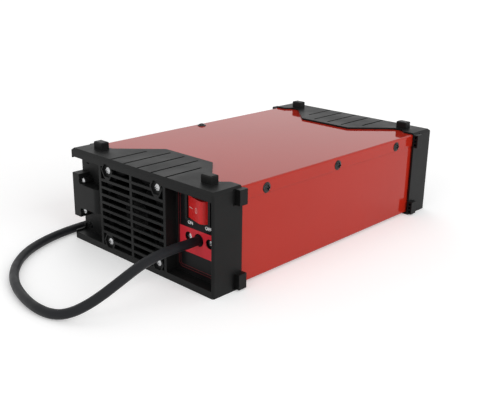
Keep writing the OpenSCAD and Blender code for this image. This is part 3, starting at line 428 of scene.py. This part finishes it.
def mains_panel_film(name, colours, marks):
    """Black film with a red band and two thin border lines, placed on the plate's own corners."""
    ground = colours.mains_film
    material, tree, shader, place = start_material(name, ground, roughness=0.3, specular=0.12)
    low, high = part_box("inlet_label")
    axes = tree.nodes.new("ShaderNodeSeparateXYZ")
    tree.links.new(place, axes.inputs["Vector"])
    x, z = axes.outputs["X"], axes.outputs["Z"]
    out_x = past_edge(tree, x, low[0], high[0], marks.border_side)
    out_z = past_edge(tree, z, low[2], high[2], marks.border_end)
    corner = calculate(tree, "ADD", calculate(tree, "ADD", out_x, out_z), marks.corner_cut)
    outside = calculate(tree, "MAXIMUM", calculate(tree, "MAXIMUM", out_x, out_z),
                        calculate(tree, "MULTIPLY", corner, math.sqrt(0.5)))
    outer = calculate(tree, "ABSOLUTE", outside)
    inner = calculate(tree, "ABSOLUTE", calculate(tree, "ADD", outside, marks.line_gap))
    line = calculate(tree, "LESS_THAN", calculate(tree, "MINIMUM", outer, inner), marks.line_width / 2)
    above = calculate(tree, "GREATER_THAN", z, marks.band_low)
    below = calculate(tree, "LESS_THAN", z, marks.band_high)
    right = calculate(tree, "GREATER_THAN", x, low[0] + marks.band_inset)
    band = calculate(tree, "MULTIPLY", calculate(tree, "MULTIPLY", above, below), right)
    lined = blend_colours(tree, line, ground, colours.border)
    tree.links.new(blend_colours(tree, band, lined, colours.band), shader.inputs["Base Color"])
    relief(tree, shader, noise(tree, place, scale=500, detail=2), 0.01 * MM)
    return material


def plain_film(name, colour):
    """Printed film with a fine texture and slightly uneven gloss."""
    material, tree, shader, place = start_material(name, colour, roughness=0.3, specular=0.15)
    patches = noise(tree, place, scale=45)
    tree.links.new(spread(tree, patches, 0.24, 0.34), shader.inputs["Roughness"])
    relief(tree, shader, noise(tree, place, scale=500, detail=2), 0.01 * MM)
    return material


def plain_ink(name, colour):
    """Screen-printed ink that covers a little unevenly."""
    material, tree, shader, place = start_material(name, colour, roughness=0.5)
    patches = noise(tree, place, scale=1500, detail=2)
    tree.links.new(blend_colours(tree, spread(tree, patches, 0, 1), colour, darker(colour, 0.9)),
                   shader.inputs["Base Color"])
    return material


# Pieces of the charger

def set_finish(nodes, material):
    """Gives a material to the named nodes of the frame."""
    for name in nodes:
        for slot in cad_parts[name].material_slots:
            slot.material = material


def printed_piece(name, mesh, ink, body):
    """Makes a mesh a printed piece that rides on a body."""
    piece = bpy.data.objects.new(name, mesh)
    bpy.context.scene.collection.objects.link(piece)
    mesh.materials.clear()
    mesh.materials.append(ink)
    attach(piece, body)


class CHARGER_OT_finish_housing(bpy.types.Operator):
    """Paint the housing, and finish the mouldings and the fasteners seen from outside"""
    bl_idname = "charger.finish_housing"
    bl_label = "Finish Housing"

    def execute(self, context):
        colours = context.scene.charger_colours
        set_finish(["top_cover", "bottom_tray"], gloss_paint("gloss_red", colours.paint))
        set_finish(["rear_bezel", "front_bezel", "cable_hook"],
                   moulded_plastic("bezel_black", colours.moulding, rounding=0.4 * MM))
        set_finish(["fan_screws", "hook_screws", "inlet_screws", "board_screws"],
                   # The bright screws get painted shade in their recesses
                   plated_screw("bright_zinc", colours.plating, colours.plating_recess_shade, roughness=0.22))
        set_finish(["cover_screws", "rear_bezel_screws", "front_bezel_screws"],
                   dark_fastener("black_oxide", colours))
        set_finish(["rear_plate", "front_plate"], coated_sheet("coated_sheet", colours.powder_coat))
        return {"FINISHED"}


class CHARGER_OT_finish_fan(bpy.types.Operator):
    """Finish the fan behind the grille"""
    bl_idname = "charger.finish_fan"
    bl_label = "Finish Fan"

    def execute(self, context):
        colours = context.scene.charger_inner_colours
        set_finish(["fan_frame"],
                   moulded_plastic("fan_black", colours.fan_frame, roughness=0.5, specular=0.04))
        set_finish(["fan_rotor"],
                   moulded_plastic("rotor_black", colours.fan_rotor, roughness=0.45, specular=0.05))
        return {"FINISHED"}


class CHARGER_OT_finish_electronics(bpy.types.Operator):
    """Finish the boards and the parts that stand on them"""
    bl_idname = "charger.finish_electronics"
    bl_label = "Finish Electronics"

    def execute(self, context):
        colours = context.scene.charger_inner_colours
        set_finish(["circuit_board", "display_board"], circuit_laminate("solder_mask", colours))
        set_finish(["left_heatsink", "right_heatsink"],
                   bare_metal("extruded_aluminium", colours.aluminium, roughness=0.35,
                              brushed=(1, 0.05, 1)))
        set_finish(["board_standoffs"], bare_metal("turned_brass", colours.brass, roughness=0.25))
        set_finish(["power_transistors"],
                   moulded_plastic("transistor_black", colours.transistor, roughness=0.4))
        set_finish(["transformer_core"],
                   moulded_plastic("ferrite", colours.ferrite, roughness=0.55, grain=0.05 * MM))
        set_finish(["transformer_winding"], wound_wire("yellow_tape", colours.tape, scale=160))
        set_finish(["filter_choke"], wound_wire("enamelled_wire", colours.wire, scale=240))
        set_finish(["bulk_capacitors"],
                   glossy_plastic("blue_sleeve", colours.sleeve, roughness=0.3, coat=0.3))
        return {"FINISHED"}


def ease(angle, start, stop):
    """Goes smoothly from 0 to 1 between two angles."""
    t = max(0.0, min(1.0, (angle - start) / (stop - start)))
    return t * t * (3 - 2 * t)


def coil_points(cord):
    """The turns of the coil: out and low, in and low, in and high, then out and high to the plug."""
    outer = cord.coil_radius + cord.diameter / 2
    low = cord.tie_thickness + cord.diameter / 2
    points = []
    for angle in range(0, COIL_END + 1, COIL_STEP):
        radius = outer - cord.diameter * (ease(angle, *COIL_IN) - ease(angle, *COIL_OUT))
        height = low + cord.diameter * ease(angle, *COIL_UP)
        turn = math.radians(angle)
        points.append(Vector((cord.coil_x + radius * math.cos(turn),
                              cord.coil_y + radius * math.sin(turn), height)))
    return points


def smooth_path(points, steps=6):
    """Points of a Catmull-Rom curve through the given points."""
    ends = [points[0] * 2 - points[1]] + list(points) + [points[-1] * 2 - points[-2]]
    path = []
    for a, b, c, d in zip(ends, ends[1:], ends[2:], ends[3:]):
        for k in range(steps):
            t = k / steps
            path.append(0.5 * ((2 * b) + (c - a) * t + (2 * a - 5 * b + 4 * c - d) * t * t
                               + (3 * b - a - 3 * c + d) * t ** 3))
    return path + [points[-1]]


class CHARGER_OT_lay_cord(bpy.types.Operator):
    """Lay the mains cord from its strain relief over the floor into a tied coil, with its plug"""
    bl_idname = "charger.lay_cord"
    bl_label = "Lay Mains Cord"

    def execute(self, context):
        cord = context.scene.charger_cord
        colours = context.scene.charger_colours
        rubber = cord_rubber("cord_rubber", colours.rubber)
        low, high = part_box("mains_plug")
        plug_end = Vector(((low[0] + high[0]) / 2, high[1], (low[2] + high[2]) / 2))
        route = mm_points(CORD_ROUTE) + coil_points(cord)
        route += [route[-1] + FROM_COIL, plug_end + BEFORE_PLUG, plug_end]
        path = smooth_path(route)
        curve = bpy.data.curves.new("mains_lead", "CURVE")
        curve.dimensions = "3D"
        curve.bevel_depth = cord.diameter / 2
        curve.bevel_resolution = 5
        curve.use_fill_caps = True
        spline = curve.splines.new("POLY")
        spline.points.add(len(path) - 1)
        for point, place in zip(spline.points, path):
            point.co = (*place, 1)
        spline.use_smooth = True
        lead = bpy.data.objects.new("mains_lead", curve)
        bpy.context.scene.collection.objects.link(lead)
        curve.materials.append(rubber)
        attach(lead, BODY)
        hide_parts("mains_cord", "cord_coil")
        set_finish(["mains_plug", "cord_gland"], rubber)
        set_finish(["cord_tie"], moulded_plastic("tie_black", colours.tie, roughness=0.45))
        return {"FINISHED"}


def print_word(name, word, height, centre, ink, rise):
    """Prints a word on an upright face, to be read from -Y."""
    text = bpy.data.curves.new(name, "FONT")
    text.body = word
    text.align_x = "CENTER"
    text.align_y = "CENTER"
    text.size = height * FONT_SIZE
    text.offset = height * FONT_BOLDNESS
    text.resolution_u = 6
    text.extrude = rise / 2
    source = bpy.data.objects.new(name + "_outline", text)
    bpy.context.scene.collection.objects.link(source)
    bpy.context.view_layer.update()
    solid = source.evaluated_get(bpy.context.evaluated_depsgraph_get())
    mesh = bpy.data.meshes.new_from_object(solid)
    bpy.data.objects.remove(source)
    mesh.transform(Matrix.Translation(centre) @ Matrix.Rotation(math.pi / 2, 4, "X"))
    mesh.name = name
    printed_piece(name, mesh, ink, BODY)


class CHARGER_OT_print_mains_panel(bpy.types.Operator):
    """Print the mains panel: red band, border line and the words beside the switch"""
    bl_idname = "charger.print_mains_panel"
    bl_label = "Print Mains Panel"

    def execute(self, context):
        colours = context.scene.charger_colours
        marks = context.scene.charger_marks
        set_finish(["inlet_label"], mains_panel_film("mains_panel_film", colours, marks))
        ink = plain_ink("white_ink", colours.ink)
        face_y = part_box("inlet_label")[0][1] - marks.print_rise / 2
        for name, word, x in (("word_on", "ON", marks.on_x), ("word_off", "OFF", marks.off_x)):
            centre = Vector((x, face_y, marks.word_z))
            print_word(name, word, marks.word_height, centre, ink, marks.print_rise)
        return {"FINISHED"}


def dash_mark(marks):
    """The on mark, flat about the origin: a dash with rounded corners."""
    bm = bmesh.new()
    bmesh.ops.create_cube(bm, size=1)
    thickness = 2 * marks.print_rise
    bmesh.ops.scale(bm, vec=(marks.rocker_dash, marks.rocker_stroke, thickness), verts=bm.verts)
    upright = [edge for edge in bm.edges
               if abs((edge.verts[0].co - edge.verts[1].co).z) > thickness / 2]
    bmesh.ops.bevel(bm, geom=upright, offset=marks.rocker_stroke * DASH_ROUNDING, offset_type="OFFSET",
                    segments=3, profile=0.5, affect="EDGES", material=-1)
    return bm


def ring_mark(marks):
    """The off mark, flat about the origin: a ring that is higher than it is wide."""
    bm = bmesh.new()
    outer = marks.rocker_ring / 2
    inner = outer - marks.rocker_stroke
    section = [(outer, -marks.print_rise), (outer, marks.print_rise),
               (inner, marks.print_rise), (inner, -marks.print_rise)]
    verts = [bm.verts.new((r, 0, h)) for r, h in section]
    edges = [bm.edges.new(pair) for pair in zip(verts, verts[1:] + verts[:1])]
    bmesh.ops.spin(bm, geom=verts + edges, cent=(0, 0, 0), axis=(0, 0, 1), angle=math.tau, steps=32,
                   use_merge=True, use_duplicate=False)
    bmesh.ops.scale(bm, vec=(marks.ring_share, 1, 1), verts=bm.verts)
    return bm


def mark_on_rocker(name, bm, share, ink):
    """Lays a mark, made flat about the origin, on the rocker's face at a share of its width."""
    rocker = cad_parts["switch_rocker"]
    low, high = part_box("switch_rocker")
    start = Vector((low[0] + (high[0] - low[0]) * share, low[1] - MARK_APPROACH, (low[2] + high[2]) / 2))
    struck, place, normal, _ = rocker.ray_cast(start, Vector((0, 1, 0)))
    if not struck:
        raise RuntimeError("the rocker's face isn't there")
    upward = Vector((0, 0, 1))
    across = upward.cross(normal).normalized()
    turn = Matrix((across, upward, normal)).transposed().to_4x4()
    bmesh.ops.transform(bm, matrix=Matrix.Translation(place) @ turn, verts=bm.verts)
    bmesh.ops.recalc_face_normals(bm, faces=bm.faces)
    mesh = bpy.data.meshes.new(name)
    bm.to_mesh(mesh)
    bm.free()
    printed_piece(name, mesh, ink, "rocker")


class CHARGER_OT_finish_switch(bpy.types.Operator):
    """Finish the switch and put the on and off marks on its rocker"""
    bl_idname = "charger.finish_switch"
    bl_label = "Finish Switch"

    def execute(self, context):
        colours = context.scene.charger_colours
        marks = context.scene.charger_marks
        set_finish(["switch_body"], moulded_plastic("switch_black", colours.switch, roughness=0.3))
        set_finish(["switch_rocker"],
                   glossy_plastic("rocker_red", colours.rocker, roughness=0.25, rounding=0.8 * MM,
                                  specular=0.2))
        ink = plain_ink("rocker_mark", colours.mark)
        mark_on_rocker("rocker_on_mark", dash_mark(marks), marks.on_share, ink)
        mark_on_rocker("rocker_off_mark", ring_mark(marks), marks.off_share, ink)
        return {"FINISHED"}


class CHARGER_OT_finish_control_end(bpy.types.Operator):
    """Finish the control end: panel, window, buttons and output sockets"""
    bl_idname = "charger.finish_control_end"
    bl_label = "Finish Control End"

    def execute(self, context):
        colours = context.scene.charger_colours
        set_finish(["front_panel"], plain_film("control_film", colours.control_film))
        set_finish(["display_window"],
                   glossy_plastic("smoked_window", colours.window, roughness=0.06, specular=0.4, coat=0.3))
        set_finish(["mode_button", "plus_button", "minus_button"],
                   moulded_plastic("button_grey", colours.button, roughness=0.45))
        set_finish(["positive_socket"],
                   glossy_plastic("socket_red", colours.positive, roughness=0.25, specular=0.3))
        set_finish(["negative_socket"],
                   glossy_plastic("socket_black", colours.negative, roughness=0.25, specular=0.25))
        return {"FINISHED"}


# Studio

def backdrop_strength(tree, dim, bright):
    """A strength that is dim for the light on the object and bright where it is seen or mirrored."""
    path = tree.nodes.new("ShaderNodeLightPath")
    seen = calculate(tree, "MAXIMUM", path.outputs["Is Camera Ray"], path.outputs["Is Glossy Ray"])
    seen = calculate(tree, "MAXIMUM", seen, path.outputs["Is Transmission Ray"])
    return calculate(tree, "ADD", calculate(tree, "MULTIPLY", seen, bright - dim), dim)


def floor_white(name, stage):
    """A matt white floor that looks white to the camera and in reflections, and keeps its shadows.

    It glows more with the distance, where the lamps reach less.
    """
    material, tree, shader, place = start_material(name, stage.floor, roughness=0.7, specular=0.1)
    shader.inputs["Emission Color"].default_value = (1, 1, 1, 1)
    distance = tree.nodes.new("ShaderNodeVectorMath")
    distance.operation = "LENGTH"
    tree.links.new(place, distance.inputs[0])
    glow = spread(tree, distance.outputs["Value"], stage.glow_near, stage.glow_far,
                  start=stage.glow_start, stop=stage.glow_stop)
    tree.links.new(calculate(tree, "MULTIPLY", backdrop_strength(tree, 0.0, WHITE), glow),
                   shader.inputs["Emission Strength"])
    patches = noise(tree, place, scale=0.8)
    tree.links.new(blend_colours(tree, spread(tree, patches, 0, 1), stage.floor, stage.floor_pale),
                   shader.inputs["Base Color"])
    return material


def white_surroundings(scene):
    """A world that lights the part at a plain level and is white where it is seen or mirrored."""
    world = bpy.data.worlds.new("surroundings")
    scene.world = world
    world.use_nodes = True
    tree = world.node_tree
    background = tree.nodes["Background"]
    background.inputs["Color"].default_value = (1, 1, 1, 1)
    tree.links.new(backdrop_strength(tree, AMBIENT, WHITE), background.inputs["Strength"])


def lay_floor(scene, stage):
    bm = bmesh.new()
    bmesh.ops.create_grid(bm, x_segments=2, y_segments=2, size=stage.floor_size / 2)
    mesh = bpy.data.meshes.new("floor")
    bm.to_mesh(mesh)
    bm.free()
    floor = bpy.data.objects.new("floor", mesh)
    scene.collection.objects.link(floor)
    mesh.materials.append(floor_white("floor_white", stage))


def soft_lamp(scene, name, place, side, power):
    """A square lamp that the gloss doesn't mirror: it shows the white surroundings alone."""
    lamp = bpy.data.lights.new(name, "AREA")
    lamp.shape = "SQUARE"
    lamp.size = side
    lamp.energy = power
    holder = bpy.data.objects.new(name, lamp)
    aim = Vector(LAMP_AIM) - Vector(place)
    holder.matrix_world = Matrix.Translation(place) @ aim.to_track_quat("-Z", "Y").to_matrix().to_4x4()
    holder.visible_glossy = False
    scene.collection.objects.link(holder)


def set_camera(scene, stage):
    """A camera at the photograph's place and angle."""
    lens = bpy.data.cameras.new("camera")
    lens.lens = stage.lens
    lens.sensor_width = 36
    lens.sensor_fit = "HORIZONTAL"
    lens.clip_start = 0.01
    camera = bpy.data.objects.new("camera", lens)
    camera.matrix_world = (
        Matrix.Translation((stage.camera_x, stage.camera_y, stage.camera_z))
        @ Matrix.Rotation(stage.azimuth, 4, "Z")
        @ Matrix.Rotation(math.pi / 2 - stage.elevation, 4, "X")
        @ Matrix.Rotation(stage.roll, 4, "Z"))
    scene.collection.objects.link(camera)
    scene.camera = camera


class CHARGER_OT_set_stage(bpy.types.Operator):
    """Set the floor, the soft lamps, the white surroundings and the camera"""
    bl_idname = "charger.set_stage"
    bl_label = "Set Stage"

    def execute(self, context):
        scene = context.scene
        stage = scene.charger_stage
        scene.view_settings.view_transform = "Standard"
        white_surroundings(scene)
        lay_floor(scene, stage)
        for name, place, side, power in LAMPS:
            soft_lamp(scene, name, place, side, power)
        set_camera(scene, stage)
        return {"FINISHED"}


class CHARGER_PT_panel(bpy.types.Panel):
    bl_idname = "CHARGER_PT_panel"
    bl_label = "Bench Battery Charger"
    bl_space_type = "VIEW_3D"
    bl_region_type = "UI"
    bl_category = "Charger"

    def draw(self, context):
        for operator in OPERATORS:
            self.layout.operator(operator.bl_idname)


OPERATORS = (
    CHARGER_OT_set_stage,
    CHARGER_OT_lay_cord,
    CHARGER_OT_finish_housing,
    CHARGER_OT_finish_fan,
    CHARGER_OT_print_mains_panel,
    CHARGER_OT_finish_switch,
    CHARGER_OT_finish_control_end,
    CHARGER_OT_finish_electronics,
)
GROUPS = {
    "charger_colours": ChargerColours,
    "charger_inner_colours": ChargerInnerColours,
    "charger_cord": ChargerCord,
    "charger_marks": ChargerMarks,
    "charger_stage": ChargerStage,
}


def register():
    for name, group in GROUPS.items():
        bpy.utils.register_class(group)
        setattr(bpy.types.Scene, name, PointerProperty(type=group))
    for operator in OPERATORS:
        bpy.utils.register_class(operator)
    bpy.utils.register_class(CHARGER_PT_panel)


def unregister():
    bpy.utils.unregister_class(CHARGER_PT_panel)
    for operator in reversed(OPERATORS):
        bpy.utils.unregister_class(operator)
    for name, group in GROUPS.items():
        delattr(bpy.types.Scene, name)
        bpy.utils.unregister_class(group)


def main():
    register()
    for operator in OPERATORS:
        group, name = operator.bl_idname.split(".")
        getattr(getattr(bpy.ops, group), name)()


if __name__ == "__main__":
    main()
